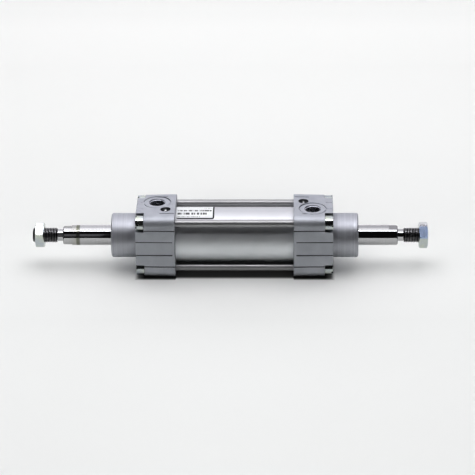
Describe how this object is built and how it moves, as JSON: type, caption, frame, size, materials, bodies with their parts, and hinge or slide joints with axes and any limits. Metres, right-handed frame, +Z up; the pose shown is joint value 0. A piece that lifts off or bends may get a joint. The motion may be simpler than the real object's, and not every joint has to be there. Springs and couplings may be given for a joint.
{
  "type": "double-ended pneumatic cylinder",
  "caption": "Tie-rod pneumatic cylinder with a through rod, threaded rod ends with hex nuts, cushioned square end caps and a side-offset port on top of each cap.",
  "frame": {"origin": "centre of the left end cap's mounting face, on the rod axis", "axes": "+X along the rod towards the right end cap, +Z up out of the air ports, +Y towards the back"},
  "size_m": [0.313, 0.0524, 0.0524],
  "materials": {
    "cast_cap": "die-cast, fine blasted",
    "anodised_tube": "drawn, clear anodised",
    "label": "white printed film",
    "tie_rod_steel": "drawn bright steel",
    "zinc_steel": "clear zinc plate",
    "rod_chrome": "hard chrome, ground",
    "seal_rubber": "moulded",
    "seal_polyurethane": "moulded polyurethane",
    "bearing_bronze": "sintered bronze",
    "piston_aluminium": "turned",
    "guide_plastic": "acetal",
    "magnet_ferrite": "plastic-bonded ferrite",
    "sleeve_brass": "turned"
  },
  "bodies": {
    "barrel": {"left_end_cap": "cast_cap", "right_end_cap": "cast_cap", "barrel_tube": "anodised_tube", "barrel_label": "label", "front_top_tie_rod": "tie_rod_steel", "front_bottom_tie_rod": "tie_rod_steel", "back_top_tie_rod": "tie_rod_steel", "back_bottom_tie_rod": "tie_rod_steel", "left_front_top_nut": "zinc_steel", "left_front_bottom_nut": "zinc_steel", "left_back_top_nut": "zinc_steel", "left_back_bottom_nut": "zinc_steel", "right_front_top_nut": "zinc_steel", "right_front_bottom_nut": "zinc_steel", "right_back_top_nut": "zinc_steel", "right_back_bottom_nut": "zinc_steel", "left_rod_bearing": "bearing_bronze", "left_rod_seal": "seal_polyurethane", "left_rod_wiper": "seal_polyurethane", "left_cushion_seal": "seal_polyurethane", "left_tube_oring": "seal_rubber", "right_rod_bearing": "bearing_bronze", "right_rod_seal": "seal_polyurethane", "right_rod_wiper": "seal_polyurethane", "right_cushion_seal": "seal_polyurethane", "right_tube_oring": "seal_rubber"},
    "piston_seals": {"piston_left_seal": "seal_polyurethane", "piston_right_seal": "seal_polyurethane", "piston_guide_ring": "guide_plastic"},
    "rod": {"left_rod": "rod_chrome", "right_rod": "rod_chrome", "piston_left_half": "piston_aluminium", "piston_right_half": "piston_aluminium", "piston_magnet": "magnet_ferrite", "piston_rod_oring": "seal_rubber", "left_cushion_sleeve": "sleeve_brass", "right_cushion_sleeve": "sleeve_brass"},
    "left_lock_nut": {"left_rod_nut": "zinc_steel"},
    "right_lock_nut": {"right_rod_nut": "zinc_steel"},
    "left_screw_ring": {"left_cushion_screw_oring": "seal_rubber"},
    "left_screw": {"left_cushion_screw": "zinc_steel"},
    "right_screw_ring": {"right_cushion_screw_oring": "seal_rubber"},
    "right_screw": {"right_cushion_screw": "zinc_steel"}
  },
  "joints": [
    {"name": "rod_stroke", "type": "slide", "parent": "barrel", "child": "piston_seals", "axis": [1, 0, 0], "range_m": [-0.0213, 0.0287]},
    {"name": "rod_turn", "type": "hinge", "parent": "piston_seals", "child": "rod", "pos_m": [0.0738, 0, 0], "axis": [1, 0, 0], "continuous": true},
    {"name": "left_nut_turn", "type": "hinge", "parent": "rod", "child": "left_lock_nut", "pos_m": [-0.0775, 0, 0], "axis": [1, 0, 0], "continuous": true},
    {"name": "right_nut_turn", "type": "hinge", "parent": "rod", "child": "right_lock_nut", "pos_m": [0.2265, 0, 0], "axis": [1, 0, 0], "continuous": true},
    {"name": "left_screw_lift", "type": "slide", "parent": "barrel", "child": "left_screw_ring", "axis": [0, 0, 1], "range_m": [-0.000295, 0.000595]},
    {"name": "left_screw_turn", "type": "hinge", "parent": "left_screw_ring", "child": "left_screw", "pos_m": [0.0232, -0.00765, 0.02], "axis": [0, 0, 1], "range_deg": [-180, 360]},
    {"name": "right_screw_lift", "type": "slide", "parent": "barrel", "child": "right_screw_ring", "axis": [0, 0, 1], "range_m": [-0.000295, 0.000595]},
    {"name": "right_screw_turn", "type": "hinge", "parent": "right_screw_ring", "child": "right_screw", "pos_m": [0.1318, 0.00765, 0.02], "axis": [0, 0, 1], "range_deg": [-180, 360]}
  ],
  "couplings": [
    {"joint": "left_screw_turn", "follows": "left_screw_lift", "rad_per_m": 10472},
    {"joint": "right_screw_turn", "follows": "right_screw_lift", "rad_per_m": 10472}
  ]
}
